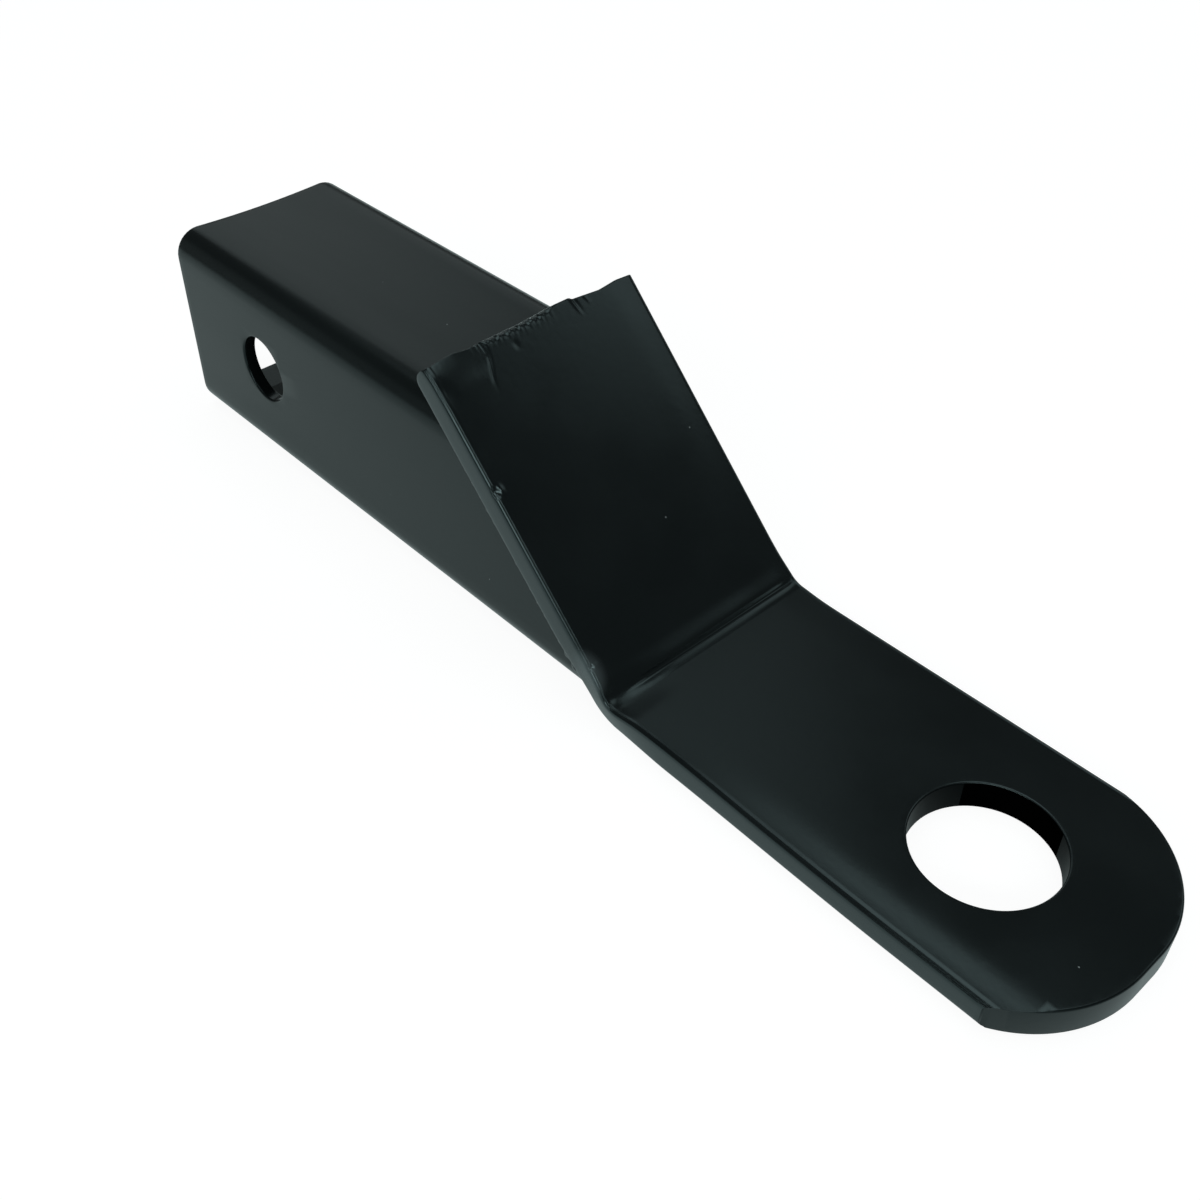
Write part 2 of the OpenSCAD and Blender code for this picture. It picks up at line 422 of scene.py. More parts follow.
print(len(along), "stations along the bar,", len(across), "across it")

# %% [markdown]
# ## What the rolls left
#
# Flat bar is rolled: its long edges are round, and each face falls away a little towards
# them. The near edge is the rounder one. A fine raised line and a groove run beside each
# edge, where the rolls met. On a part as black as this one, such small falls are what the
# light shows, so they are shaped and not painted on.

# %% Round edges
edge_r, near_edge_r = 0.75, 1.5
crown_depth, crown_w = 0.12, 8.5
bead_h, bead_at = 0.075, 0.8
gutter_h, gutter_at = 0.09, 0.5
line_w = 0.13


def edge_fall(v, near_crown):
    """Depth that a face loses towards both long edges; near_crown adds some on the near one."""
    gap = bar_half - np.abs(v)
    fall = quarter(gap, np.where(v < 0, near_edge_r, edge_r))
    crown = crown_depth + near_crown * (v < 0)
    fall = fall + crown * (1 - ease(gap, 0, crown_w))
    return fall - bead_h * ridge(gap, bead_at, line_w) + gutter_h * ridge(gap, gutter_at, line_w)


print(f"each face falls {edge_fall(-bar_half, 0):.2f} mm to the near edge")

# %% [markdown]
# ## What the shear left
#
# The leg's top is a sheared end. A shear rolls the metal over before it tears it, so the
# front face has a ragged torn stretch in the middle, a near corner pressed down with a fold
# beside it, and a few short creases and dents. They are kept in small tables, one row for
# each mark, so that a mark can be moved or left out without touching the function.

# %% The sheared end's front face
front_r, torn_r = 0.35, 1.3
torn_across = (-14.3, -13.2, 2, 7)
# Each wave of the torn edge: height, turns in radians for a millimetre, start.
torn_waves = ((0.25, 2.1, 0), (0.2, 5.3, 1))
ripple_h, ripple_reach = 0.1, 1.7
ripple_turn, ripple_slant, ripple_beat = 7.3, 0.9, 3.1
pressed_depth, pressed_len = 0.9, 8.5
lip_near, lip_far = 0.7, 0.2
fold_v, fold_drift, fold_along = -14, 2.2, (2, 11)
fold_depth, fold_w, fold_fading = 0.26, 0.32, (4, 12)
# Each crease: start and end as (below the top, across), width, depth. A ridge is negative.
creases = (
    ((0, 10.7), (5, 11.9), 0.28, -0.16),
    ((0, 11.5), (5, 12.6), 0.4, 0.12),
    ((0, 14.4), (3, 15.2), 0.28, -0.1),
)
# Each dent: how far below the top and its reach, how far across and its reach, depth.
dents = ((7, 4, -27.2, 2.4, 0.3), (4.2, 1.2, -6.9, 1, 0.1))


def crease(e, v, start, end, width):
    """A thin fold from one (below the top, across) to another, which fades along it."""
    (e0, v0), (e1, v1) = start, end
    t = np.clip((e - e0) / (e1 - e0), 0, 1)
    return (1 - ease(e, e0, e1)) * ridge(v, v0 + (v1 - v0) * t, width)


def sheared_face(e, v):
    """Depth that the shear took from the front face, e mm below the leg's top."""
    torn = plateau(v, *torn_across)
    ragged = sum(height * np.sin(turn * v + start) for height, turn, start in torn_waves)
    d = quarter(e, front_r + torn * (torn_r + ragged))
    ripple = np.sin(ripple_turn * v + ripple_slant * e) * np.sin(ripple_beat * v)
    d = d + ripple_h * torn * ripple * ridge(e, 0, ripple_reach)
    fold = fold_v - fold_drift * ease(e, *fold_along)
    pressed = 1 - ease(v, fold - lip_near, fold + lip_far)
    d = d + pressed * pressed_depth * np.clip(1 - e / pressed_len, 0, 1) ** 2
    d = d + fold_depth * ridge(v, fold, fold_w) * (1 - ease(e, *fold_fading))
    for start, end, width, depth in creases:
        d = d + depth * crease(e, v, start, end, width)
    for below, below_reach, aside, aside_reach, depth in dents:
        d = d + depth * bump(e, below, below_reach) * bump(v, aside, aside_reach)
    return d


print(len(creases), "creases and", len(dents), "dents at the sheared end")

# %% [markdown]
# ## What the press and some knocks left
#
# The punch of the press left a line across the inside of the bend, and the foot of the leg
# is a little full above it. Both die out towards the edges. At the near end of the line is
# a soft dent, with a little metal raised above it. The near edge of the leg has taken two
# knocks since: each is a dent with a low burr beside it.

# %% The pressed face
punch_across = (-25, -17, 24, 28.4)
mark_u, mark_depth = -0.8, 0.5
mark_above, mark_below = 0.85, 0.35
foot_rise, foot_along = 0.45, (-6.5, -1.4, -1.4, 1.8)
foot_loss, foot_loss_across = 0.5, (8, 28)
dent_depth, dent_along, dent_across = 0.6, (-5, 0, 0.5, 7.5), (-25, -10)
dent_at_edge, dent_edge = 0.4, (-29, -26)
raised, raised_along, raised_across = 0.4, (-14, -5, -4, 0), (-28, -22.5)
tongue_crown, tongue_crown_along = 0.46, (14, 46)
bend_crown, bend_crown_u, bend_crown_reach = 0.2, -7, 8
# Each knock: place and reach along the edge, then its dent and its burr, each as distance
# in from the edge, reach and depth.
knocks = (
    (-49.6, 1.9, (0.9, 1.1, 0.5), (2.1, 0.7, -0.22)),
    (-8.6, 1.0, (0.8, 0.8, 0.3), (1.9, 1.2, -0.12)),
)


def pressed_face(u, v):
    """Depth that the press took from the inner face at the bend, or gave it."""
    fade = plateau(v, *punch_across)
    d = mark_depth * fade * ridge(u, mark_u, mark_above if u < mark_u else mark_below)
    full = foot_rise * (1 - foot_loss * ease(v, *foot_loss_across))
    d = d - full * fade * plateau(u, *foot_along)
    edge_share = dent_at_edge + (1 - dent_at_edge) * ease(v, *dent_edge)
    d = d + dent_depth * (1 - ease(v, *dent_across)) * edge_share * plateau(u, *dent_along)
    return d - raised * (1 - ease(v, *raised_across)) * plateau(u, *raised_along)


def knocked(u, v):
    """Depth of the knocks on the leg's near edge."""
    d = 0
    for at, reach, *marks in knocks:
        for inwards, mark_reach, depth in marks:
            d = d + depth * bump(u, at, reach) * bump(v + bar_half, inwards, mark_reach)
    return d


# %% Front and back of the strip
shear_roll_r = 2.5


def shape_front(u, v):
    """Depth of the inner face: the leg's front, the bend and the tongue's top."""
    near_crown = tongue_crown * ease(u, *tongue_crown_along)
    near_crown = near_crown + bend_crown * bump(u, bend_crown_u, bend_crown_reach)
    d = edge_fall(v, near_crown) + knocked(u, v) + pressed_face(u, v)
    return d + sheared_face(u - strip_top, v)


def shape_back(u, v):
    """Depth of the outer face."""
    return bar_t - edge_fall(v, 0) - quarter(u - strip_top, shear_roll_r)


print(f"bar {shape_back(0, 0) - shape_front(0, 0):.2f} mm thick at the middle of the bend")

# %% [markdown]
# ## Squeeze, shear and bend the strip
#
# Bending squeezes metal out of both edges inside the bend and draws them in outside it. The
# sheared end wanders. The near edge spreads a little towards the nose. These three move
# points within the strip, and then the bend turns them: a point inside the bend lies on an
# arc, and one beyond it on a straight that leaves the arc.

# %% From the flat strip to the bent bar
swell, swell_reach = 0.72, 6
draw_in, draw_in_u, draw_in_reach = 0.8, -1, 18
inner_share, outer_power = 0.8, 1.3
squeezed_from = 22
shear_wander, shear_reach = 1.1, 6
# Each point of the wander: share of the way across, share of the wander.
shear_line = np.array([
    (0, 1), (0.08, 0.6), (0.14, 0.4), (0.2, 0.9), (0.25, 0.6), (0.44, 0.45),
    (0.57, 0.05), (0.68, 0), (0.7, 0.5), (0.83, 1), (0.92, 0.55), (1, 0.75),
])
jitter, jitter_turn, jitter_beat, jitter_across = 0.16, 3.3, 1.7, (-15, -13)
nose_spread, spread_along, spread_from = 0.95, (10, 75), 12


def squeeze(u, v, d):
    """Moves points across the strip where the bend squeezed its edges."""
    inner = np.clip(1 - d / bar_t / inner_share, 0, 1)
    outer = np.clip(d / bar_t, 0, 1) ** outer_power
    move = swell * inner * ridge(u, 0, swell_reach)
    move = move - draw_in * outer * bump(u, draw_in_u, draw_in_reach)
    return v + np.sign(v) * move * ease(np.abs(v), squeezed_from, bar_half)


def shear(u, v):
    """Moves points along the strip, so that its sheared end isn't straight."""
    share = (v + bar_half) / (2 * bar_half)
    drop = shear_wander * np.interp(share, shear_line[:, 0], shear_line[:, 1])
    rough = np.sin(jitter_turn * v) * np.sin(jitter_beat * v + 1)
    drop = drop + jitter * rough * (1 - ease(v, *jitter_across))
    return u + drop * np.exp(-(u - strip_top) / shear_reach)


def bend(u, d):
    """x and z of a place along the strip and a depth."""
    turn = np.clip((u + bend_half) / (2 * bend_half), 0, 1) * bend_angle
    straight = np.where(u < -bend_half, u + bend_half, np.where(u > bend_half, u - bend_half, 0))
    tilt = bend_angle - turn
    x = bend_x - (bend_r + d) * np.sin(tilt) + straight * np.cos(tilt)
    z = bend_z - (bend_r + d) * np.cos(tilt) - straight * np.sin(tilt)
    return x, z


def place(u, v, d):
    """From the flat strip to the bent bar, in millimetres."""
    v = squeeze(u, np.asarray(v, float), d)
    u = shear(u, v)
    spread = nose_spread * ease(u, *spread_along) * ease(-v, spread_from, bar_half)
    x, z = bend(u, d)
    return x, v + off_centre - spread, z


print("the bend's near edge is at", [round(float(c), 1) for c in place(0, -bar_half, 0)])


# %% Loft of the bar
def bar_ring(u):
    """Closed ring round the strip: its front, its far side, its back and its near side."""
    front, back = shape_front(u, across), shape_back(u, across)
    far_side = [front[-1] + (back[-1] - front[-1]) * share for share in side_shares]
    near_side = [front[0] + (back[0] - front[0]) * share for share in reversed(side_shares)]
    edge = np.full(len(side_shares), bar_half)
    v = np.concatenate([across, edge, across[::-1], -edge])
    d = np.concatenate([front, far_side, back[::-1], near_side])
    return zip(*place(u, v, d))


def end_faces(ring):
    """Quads that close the strip's end, and one face at each of its sides."""
    n, k = len(across), len(side_shares)
    front, far_side = ring[:n], ring[n:n + k]
    back, near_side = ring[n + k:2 * n + k][::-1], ring[2 * n + k:]
    faces = [(front[i], front[i + 1], back[i + 1], back[i]) for i in range(n - 1)]
    return faces + [(front[-1], *far_side, back[-1]), (back[0], *near_side, front[0])]


def build_bar():
    """The bar before its nose is punched and its hole is cut."""
    points, rings = [], []
    for u in along:
        add_ring(points, rings, bar_ring(u))
    faces = loft(rings) + end_faces(rings[0]) + end_faces(rings[-1])
    bar = make_object("bent_bar", points, faces)
    face_outwards(bar)
    return bar


bar = build_bar()
print("bar before its hole and nose:", count(bar), "triangles")

# %% [markdown]
# ## The nose and the round hole
#
# The nose is two arcs of different radius, so that a corner is left on the near edge. The
# tool is the ring of waste round it, with a rounded rim at the top and the bottom face, as
# a punch leaves it, and one boolean takes it away. The hole's cutter is the same lathe
# profile as the pin bore's.

# %% Nose and hole
ARC_STEPS = 64
NOSE_RIM_STEPS = 6
nose_far_r, nose_near_r = 28.0, 28.3
nose_overrun = 4.1
rim_r, hole_rim = 0.5, 0.45
clear_of = 8


def waste_plan(inset):
    """Closed plan of what the nose's punch removes, moved into the nose by inset."""
    far_x, near_x = bar_high.x - nose_far_r, bar_high.x - nose_near_r
    far_y = off_centre + bar_half - nose_far_r
    near_y = off_centre + nose_near_r - nose_overrun - bar_half
    wide, out_x = bar_half + clear_of, bar_high.x + clear_of
    near_arc, far_arc = nose_near_r - inset, nose_far_r - inset
    steps = quarter_turn(ARC_STEPS)
    plan = [(near_x + near_arc * math.sin(a), near_y - near_arc * math.cos(a)) for a in steps]
    plan += [(far_x + far_arc * math.cos(a), far_y + far_arc * math.sin(a)) for a in steps]
    return plan + [(far_x, wide), (out_x, wide), (out_x, -wide), (near_x, -wide)]


def punch_waste():
    """The ring of waste round the nose, as a solid."""
    turn, under = quarter_turn(NOSE_RIM_STEPS), tongue_top - bar_t
    levels = [(rim_r, under - beyond)]
    levels += [(rim_r * (1 - math.sin(a)), under + rim_r * (1 - math.cos(a))) for a in turn]
    levels += [(rim_r * (1 - math.cos(a)), tongue_top - rim_r * (1 - math.sin(a))) for a in turn]
    levels += [(rim_r, tongue_top + beyond)]
    points, rings = [], []
    for inset, z in levels:
        add_ring(points, rings, [(x, y, z) for x, y in waste_plan(inset)])
    waste = make_object("waste", points, loft(rings, capped=True))
    face_outwards(waste)
    return waste


hole_profile = bore_profile(hole_r, hole_rim, -bar_t / 2, bar_t / 2, beyond, beyond)
cut(bar, lathe("hole_cutter", hole_profile, "Z", (hole_x, hole_y, bar_mid_z)))
cut(bar, punch_waste())
smooth(bar)
print("bar with its hole and nose:", count(bar), "triangles")

# %% [markdown]
# ## Helpers for node trees
#
# The welds, the finishes, the floor and the room are all node trees. Two helpers keep them
# short to read: one adds a node with its settings, links and values in a single call, and
# one gives a tree the named inputs and outputs that others see.

# %% Helpers for node trees
# A Mix node has sockets for each kind of data; these are the places of its colours.
MIX_FIRST, MIX_SECOND, MIX_RESULT = 6, 7, 2


def put(tree, kind, links=None, values=None, **settings):
    """Adds a node; links and values are its inputs' sources and constants."""
    node = tree.nodes.new(kind)
    for name, setting in settings.items():
        setattr(node, name, setting)
    for name, value in (values or {}).items():
        node.inputs[name].default_value = value
    for name, source in (links or {}).items():
        tree.links.new(source, node.inputs[name])
    return node


def name_sockets(tree, in_out, *rows):
    """Gives a tree its named inputs or outputs, from (label, kind, value) rows."""
    for label, kind, value in rows:
        socket = tree.interface.new_socket(
            label, in_out=in_out, socket_type=f"NodeSocket{kind}",
        )
        if value is not None:
            socket.default_value = value


# %% [markdown]
# ## The welds
#
# Four runs of weld metal hold the bar on: over the top, under the toe and down both sides.
# A run is a row of overlapping scales, one for each move of the welder's hand. That is
# what Geometry Nodes do well: points along a line, one scale on each, turned and sized a
# little differently by a fixed seed.

# %% Node tree for a run of weld
RIPPLE = 3.1
SCALE_SEGMENTS, SCALE_RINGS = 32, 20
smallest_scale, largest_scale = (0.93, 0.93, 0.66), (1.0, 1.0, 0.78)
least_turn, most_turn = (-0.12, 0.1, -0.1), (0.12, 0.34, 0.1)


def weld_tree():
    """Scales of weld metal along a straight run."""
    tree = bpy.data.node_groups.new("weld_run", "GeometryNodeTree")
    name_sockets(
        tree, "INPUT", ("Start", "Vector", (0, 0, 0)), ("End", "Vector", (0, 0, 1)),
        ("Leg", "Float", 0.003), ("Pitch", "Float", RIPPLE * MM), ("Seed", "Int", 0),
        ("Finish", "Material", None),
    )
    name_sockets(tree, "OUTPUT", ("Geometry", "Geometry", None))
    given = put(tree, "NodeGroupInput").outputs
    line = put(
        tree, "GeometryNodeCurvePrimitiveLine", {"Start": given["Start"], "End": given["End"]},
    )
    dots = put(
        tree, "GeometryNodeCurveToPoints",
        {"Curve": line.outputs["Curve"], "Length": given["Pitch"]}, mode="LENGTH",
    )
    scale = put(
        tree, "GeometryNodeMeshUVSphere", {"Radius": given["Leg"]},
        {"Segments": SCALE_SEGMENTS, "Rings": SCALE_RINGS},
    )
    size, turn = (
        put(
            tree, "FunctionNodeRandomValue", {"Seed": given["Seed"]}, {0: least, 1: most},
            data_type="FLOAT_VECTOR",
        ).outputs[0]
        for least, most in ((smallest_scale, largest_scale), (least_turn, most_turn))
    )
    row = put(tree, "GeometryNodeInstanceOnPoints", {
        "Points": dots.outputs["Points"], "Instance": scale.outputs["Mesh"],
        "Rotation": dots.outputs["Rotation"], "Scale": size,
    })
    tilted = put(
        tree, "GeometryNodeRotateInstances",
        {"Instances": row.outputs["Instances"], "Rotation": turn},
    )
    real = put(
        tree, "GeometryNodeRealizeInstances", {"Geometry": tilted.outputs["Instances"]},
    )
    painted = put(
        tree, "GeometryNodeSetMaterial",
        {"Geometry": real.outputs["Geometry"], "Material": given["Finish"]},
    )
    put(tree, "NodeGroupOutput", {"Geometry": painted.outputs["Geometry"]})
    return tree


weld_nodes = weld_tree()
print("weld tree:", len(weld_nodes.nodes), "nodes")

# %% [markdown]
# ## From scales to a bead
#
# Molten scales run together. A voxel remesh makes one skin of them, and cutting planes then
# trim it at the faces that the run sits on, a little below the steel's surface, so that the
# bead grows out of the metal with no gap.

# %% One run of weld
VOXEL = 0.22
WELD_SHARP = math.radians(60)


def set_input(modifier, label, value):
    """Sets a modifier's input through the identifier behind its label."""
    for item in modifier.node_group.interface.items_tree:
        if item.in_out == "INPUT" and item.name == label:
            modifier[item.identifier] = value
            return
    raise KeyError(label)


def trim(thing, planes):
    """Cuts away what lies behind each (point, normal) plane and closes the cut."""
    work = bmesh.new()
    work.from_mesh(thing.data)
    for point, normal in planes:
        everything = work.verts[:] + work.edges[:] + work.faces[:]
        done = bmesh.ops.bisect_plane(
            work, geom=everything, plane_co=Vector(point) * MM, plane_no=normal, clear_inner=True
        )
        rim = [g for g in done["geom_cut"] if isinstance(g, bmesh.types.BMEdge)]
        bmesh.ops.edgeloop_fill(work, edges=rim)
    bmesh.ops.recalc_face_normals(work, faces=work.faces)
    work.to_mesh(thing.data)
    work.free()


def weld_run(name, start, end, leg, seed, planes, finish):
    """One run of weld as a closed mesh."""
    thing = make_object(name, [], [])
    run = thing.modifiers.new("run", "NODES")
    run.node_group = weld_nodes
    for label, value in (
        ("Start", Vector(start) * MM), ("End", Vector(end) * MM), ("Leg", leg * MM),
        ("Seed", seed), ("Finish", finish),
    ):
        set_input(run, label, value)
    skin = thing.modifiers.new("skin", "REMESH")
    skin.mode = "VOXEL"
    skin.voxel_size = VOXEL * MM
    thing.data = evaluated_mesh(thing)
    thing.modifiers.clear()
    trim(thing, planes)
    thing.data.materials.clear()
    thing.data.materials.append(finish)
    smooth(thing, WELD_SHARP)
    return thing


# %% [markdown]
# ## Black powder coat
#
# Powder coat is a baked skin of plastic: nearly black, with a satin gloss, and with a
# faint orange peel that a paint brush never leaves. Almost all the light that it sends
# back is a reflection, so its roughness matters more than its colour. Four masks make it:
# the fine peel, slow clouds that shift the gloss and the shade, a few specks of dust, and
# a pale patch that is a painted highlight, standing in for the light that the bend's near
# corner catches. All of them read Object coordinates, so they stay in place on the metal.

# %% Masks of the coat
PEEL_DETAIL, CLOUD_DETAIL = 1.5, 3
CLOUD_FROM, CLOUD_TO = 0.3, 0.7
SPECK_CELLS, SPECK_SIZE, SPECK_RARE = 120, 0.02, 0.6
# Distance from the painted highlight's centre within which it is at full strength.
PAINTED_HIGHLIGHT_CORE = 0.0035


def peel_height(tree, where, given):
    """Height of the orange peel."""
    links = {"Vector": where, "Scale": given["Peel Scale"]}
    return put(tree, "ShaderNodeTexNoise", links, {"Detail": PEEL_DETAIL}).outputs["Fac"]


def clouds(tree, where, given):
    """Slow patches, which Cloud Stretch can draw out along the metal."""
    drawn = put(
        tree, "ShaderNodeVectorMath", {0: where, 1: given["Cloud Stretch"]},
        operation="MULTIPLY",
    )
    links = {"Vector": drawn.outputs["Vector"], "Scale": given["Cloud Scale"]}
    return put(tree, "ShaderNodeTexNoise", links, {"Detail": CLOUD_DETAIL}).outputs["Fac"]


def specks(tree, where):
    """1 on a few small dots of dust and 0 elsewhere."""
    grain = put(tree, "ShaderNodeTexVoronoi", {"Vector": where}, {"Scale": SPECK_CELLS})
    close = put(
        tree, "ShaderNodeMath", {0: grain.outputs["Distance"]}, {1: SPECK_SIZE},
        operation="LESS_THAN",
    )
    few = put(
        tree, "ShaderNodeMath", {0: grain.outputs["Color"]}, {1: SPECK_RARE},
        operation="GREATER_THAN",
    )
    links = {0: close.outputs[0], 1: few.outputs[0]}
    return put(tree, "ShaderNodeMath", links, operation="MULTIPLY").outputs[0]


def painted_highlight_patch(tree, where, given):
    """1 round the place of a painted highlight, fading to 0 at the patch's reach."""
    away = put(
        tree, "ShaderNodeVectorMath", {0: where, 1: given["Rubbed At"]}, operation="DISTANCE",
    )
    fade = put(
        tree, "ShaderNodeMapRange",
        {"Value": away.outputs["Value"], "From Max": given["Rubbed Reach"]},
        {"From Min": PAINTED_HIGHLIGHT_CORE, "To Min": 1, "To Max": 0}, interpolation_type="SMOOTHSTEP",
    )
    return fade.outputs["Result"]


# %% [markdown]
# ## One node group for every coat
#
# The tube, the bar, its nose and its hole, the welds and the inside of the tube are all
# the same coat with other values. So the masks go into one shader node group, which puts
# out a colour, a roughness and a height, and each material places it with its own inputs.

# %% Node group of the coat
def blend(tree, share, first, second):
    """Mixes two colours by a mask."""
    links = {"Factor": share, MIX_FIRST: first, MIX_SECOND: second}
    return put(tree, "ShaderNodeMix", links, data_type="RGBA").outputs[MIX_RESULT]


def coat_group():
    """Colour, roughness and height of powder coat, from Object coordinates."""
    tree = bpy.data.node_groups.new("powder_coat", "ShaderNodeTree")
    name_sockets(
        tree, "INPUT",
        ("Colour", "Color", (0.002, 0.003, 0.0035, 1)),
        ("Worn Colour", "Color", (0.005, 0.0065, 0.007, 1)),
        ("Speck", "Color", (0.3, 0.33, 0.33, 1)),
        # Colour of the painted highlight, a pale patch that stands in for light the bar catches.
        ("Painted Highlight", "Color", (0.07, 0.082, 0.085, 1)),
        ("Gloss Low", "Float", 0.26), ("Gloss High", "Float", 0.34),
        ("Peel Scale", "Float", 620.0), ("Cloud Scale", "Float", 38.0),
        ("Cloud Stretch", "Vector", (1, 1, 1)),
        ("Rubbed At", "Vector", (0, 0, 1)), ("Rubbed Reach", "Float", 0.004),
    )
    name_sockets(
        tree, "OUTPUT",
        ("Colour", "Color", None), ("Roughness", "Float", None), ("Height", "Float", None),
    )
    given = put(tree, "NodeGroupInput").outputs
    where = put(tree, "ShaderNodeTexCoord").outputs["Object"]
    cloud = clouds(tree, where, given)
    gloss = put(
        tree, "ShaderNodeMapRange",
        {"Value": cloud, "To Min": given["Gloss Low"], "To Max": given["Gloss High"]},
        {"From Min": CLOUD_FROM, "From Max": CLOUD_TO}, interpolation_type="SMOOTHSTEP",
    )
    shade = blend(tree, cloud, given["Colour"], given["Worn Colour"])
    # Painted highlight: a pale patch laid over the coat's colour.
    shade = blend(tree, painted_highlight_patch(tree, where, given), shade, given["Painted Highlight"])
    shade = blend(tree, specks(tree, where), shade, given["Speck"])
    put(tree, "NodeGroupOutput", {
        "Colour": shade, "Roughness": gloss.outputs["Result"],
        "Height": peel_height(tree, where, given),
    })
    return tree


coat_nodes = coat_group()
print("coat group:", len(coat_nodes.nodes), "nodes")

# %% [markdown]
# ## The coats
#
# How much a coat mirrors is what tells its places from one another: the bar's faces most,
# the nose's side about half as much, the tube less again, and the wall of the round hole
# hardly at all. The far part of that wall is black in the photograph, and no light here
# makes so sharp a shadow, so that shadow is painted on it as a near-black coat.
# The inside of the tube is hidden there, and is taken to be rougher and browner, as little
# powder reaches it.

# %% Materials of the coat
mirror_tint = (0.78, 0.98, 1.0, 1)
BLACK = (0.0005, 0.0005, 0.0005, 1)
# Near-black for the painted shadow on the far part of the hole's wall.
PAINTED_SHADOW_BLACK = (0.0003, 0.0003, 0.0003, 1)
# Reach and place of the painted highlight by the leg's near edge, just above the bend.
rubbed_reach = 0.0072
painted_highlight_u, painted_highlight_off = -8.0, 3.0


def coat(name, peel_depth=0.01, mirror=0.5, **values):
    """A powder coat material; peel_depth is the height of its orange peel in millimetres."""
    finish = bpy.data.materials.new(name)
    finish.use_nodes = True
    tree = finish.node_tree
    shader = tree.nodes["Principled BSDF"]
    shader.inputs["Specular Tint"].default_value = mirror_tint
    shader.inputs["Specular IOR Level"].default_value = mirror
    inputs = {label.replace("_", " ").title(): value for label, value in values.items()}
    skin = tree.nodes.new("ShaderNodeGroup")
    skin.node_tree = coat_nodes
    for label, value in inputs.items():
        skin.inputs[label].default_value = value
    bumps = put(
        tree, "ShaderNodeBump", {"Height": skin.outputs["Height"]},
        {"Distance": peel_depth * MM},
    )
    tree.links.new(skin.outputs["Colour"], shader.inputs["Base Color"])
    tree.links.new(skin.outputs["Roughness"], shader.inputs["Roughness"])
    tree.links.new(bumps.outputs["Normal"], shader.inputs["Normal"])
    return finish


# Centre of the painted highlight, a little outside the near edge just above the bend.
rubbed_at = Vector(float(c) for c in place(painted_highlight_u, -bar_half - painted_highlight_off, 0.0)) * MM
tube_coat = coat(
    "tube_coat", mirror=0.28, colour=(0.001, 0.0015, 0.002, 1),
    worn_colour=(0.011, 0.0145, 0.0145, 1), gloss_low=0.2, gloss_high=0.27,
    cloud_scale=70.0, cloud_stretch=(0.1, 1, 1),
)
plate_coat = coat(
    "plate_coat", mirror=0.7, gloss_low=0.19, gloss_high=0.25, rubbed_at=rubbed_at,
    rubbed_reach=rubbed_reach,
)
nose_coat = coat("nose_coat", mirror=0.36)
hole_coat = coat("hole_coat", mirror=0.03, colour=BLACK, gloss_low=0.34, gloss_high=0.42)
# Painted shadow: a near-black coat with no mirror, laid on the far part of the hole's wall in
# place of the shade there.
painted_shadow_coat = coat(
    "painted_shadow_coat", mirror=0.0, colour=PAINTED_SHADOW_BLACK, worn_colour=(0.001, 0.001, 0.001, 1),
    gloss_low=0.5, gloss_high=0.6,
)
weld_coat = coat("weld_coat", peel_depth=0.02, peel_scale=900.0)
inside_coat = coat(
    "inside_coat", peel_depth=0.03, colour=(0.012, 0.012, 0.011, 1),
    worn_colour=(0.05, 0.045, 0.04, 1), gloss_low=0.55, gloss_high=0.8, peel_scale=1500.0,
)
print("coats:", ", ".join(m.name for m in bpy.data.materials if m.name.endswith("coat")))

# %% Coat the tube inside and out
skin_depth = 0.3
coated_in = 8


def tube_slot(polygon):
    """0 on the outside and near the open end, 1 on the inside."""
    centre = polygon.center / MM
    deep = max(abs(centre.y), abs(centre.z - tube_axis_z)) < inner_face + skin_depth
    return int(deep and centre.x > tube_low.x + coated_in)


for finish in (tube_coat, inside_coat):
    tube.data.materials.append(finish)
for polygon in tube.data.polygons:
    polygon.material_index = tube_slot(polygon)
print("faces inside the tube:", sum(p.material_index == 1 for p in tube.data.polygons))

# %% Coat the bar, its hole and its nose
PLATE, HOLE, PAINTED_SHADOW, NOSE = range(4)
hole_margin = 0.05
# Bearings round the hole between which its wall gets the painted shadow.
painted_shadow_from, painted_shadow_to = 57, 142
level_from = 0.93
forwards_from = 0.12


def bar_slot(polygon):
    """The coat of one face: the hole's wall and the nose's side have their own, and the far part
    of the hole's wall gets a painted shadow.
    """
    centre = polygon.center / MM
    east, north = centre.x - hole_x, centre.y - hole_y
    if math.hypot(east, north) < hole_r + hole_margin:
        degrees = math.degrees(math.atan2(north, east))
        # The far part of the hole's wall gets the painted shadow.
        return PAINTED_SHADOW if painted_shadow_from < degrees < painted_shadow_to else HOLE
    facing = polygon.normal
    on_nose = abs(facing.z) < level_from and facing.x > forwards_from and centre.x > hole_x
    return NOSE if on_nose else PLATE


for finish in (plate_coat, hole_coat, painted_shadow_coat, nose_coat):
    bar.data.materials.append(finish)
for polygon in bar.data.polygons:
    polygon.material_index = bar_slot(polygon)
print("faces of the nose's side:", sum(p.material_index == NOSE for p in bar.data.polygons))

# %% [markdown]
# ## Lay the welds
#
# The top and bottom runs lie along Y, on the flat part of the tube's walls. The side runs
# follow the slant. Each is trimmed at the tube's wall and, where it lies against the bar,
# at the bar's back face.

